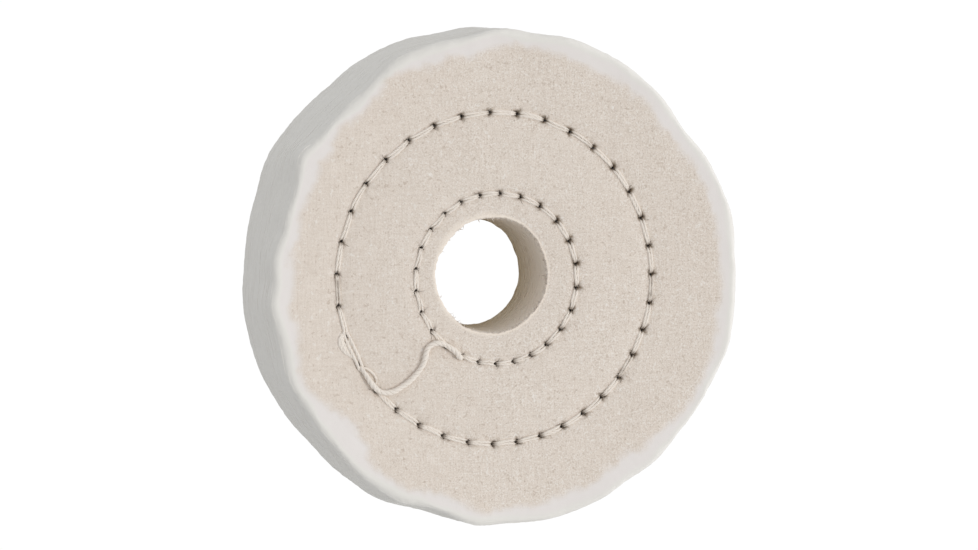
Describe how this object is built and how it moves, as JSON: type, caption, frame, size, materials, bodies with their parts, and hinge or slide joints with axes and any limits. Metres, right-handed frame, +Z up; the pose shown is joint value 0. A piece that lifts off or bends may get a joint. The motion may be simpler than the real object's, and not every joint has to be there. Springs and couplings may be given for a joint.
{
  "type": "sewn cotton polishing wheel",
  "caption": "Round buffing wheel of stacked woven cotton plies, sewn together by two rings of chain stitching, with frayed edges and a plain arbor hole.",
  "frame": {"origin": "centre of the arbor hole, half way through the stack", "axes": "+Y along the spin axis, from the front face, which shows the chain side of the stitching, to the back face; +Z up; the front face looks along -Y"},
  "size_m": [0.076, 0.0152, 0.0759],
  "materials": {
    "cloth_face": "woven cotton muslin, undyed, raw cut edge",
    "cloth_ply": "woven cotton muslin, undyed, raw cut edge",
    "sewing_thread": "plied cotton thread, cream"
  },
  "bodies": {
    "root": {"front_face_ply": "cloth_face", "inner_ply_02": "cloth_ply", "inner_ply_03": "cloth_ply", "inner_ply_04": "cloth_ply", "inner_ply_05": "cloth_ply", "inner_ply_06": "cloth_ply", "inner_ply_07": "cloth_ply", "inner_ply_08": "cloth_ply", "inner_ply_09": "cloth_ply", "inner_ply_10": "cloth_ply", "inner_ply_11": "cloth_ply", "inner_ply_12": "cloth_ply", "inner_ply_13": "cloth_ply", "inner_ply_14": "cloth_ply", "inner_ply_15": "cloth_ply", "inner_ply_16": "cloth_ply", "inner_ply_17": "cloth_ply", "inner_ply_18": "cloth_ply", "inner_ply_19": "cloth_ply", "inner_ply_20": "cloth_ply", "inner_ply_21": "cloth_ply", "inner_ply_22": "cloth_ply", "inner_ply_23": "cloth_ply", "inner_ply_24": "cloth_ply", "inner_ply_25": "cloth_ply", "inner_ply_26": "cloth_ply", "inner_ply_27": "cloth_ply", "inner_ply_28": "cloth_ply", "inner_ply_29": "cloth_ply", "inner_ply_30": "cloth_ply", "inner_ply_31": "cloth_ply", "inner_ply_32": "cloth_ply", "inner_ply_33": "cloth_ply", "inner_ply_34": "cloth_ply", "inner_ply_35": "cloth_ply", "inner_ply_36": "cloth_ply", "inner_ply_37": "cloth_ply", "inner_ply_38": "cloth_ply", "inner_ply_39": "cloth_ply", "back_face_ply": "cloth_face", "outer_row_stitching": "sewing_thread", "inner_row_stitching": "sewing_thread", "crossing_thread": "sewing_thread"}
  },
  "joints": []
}
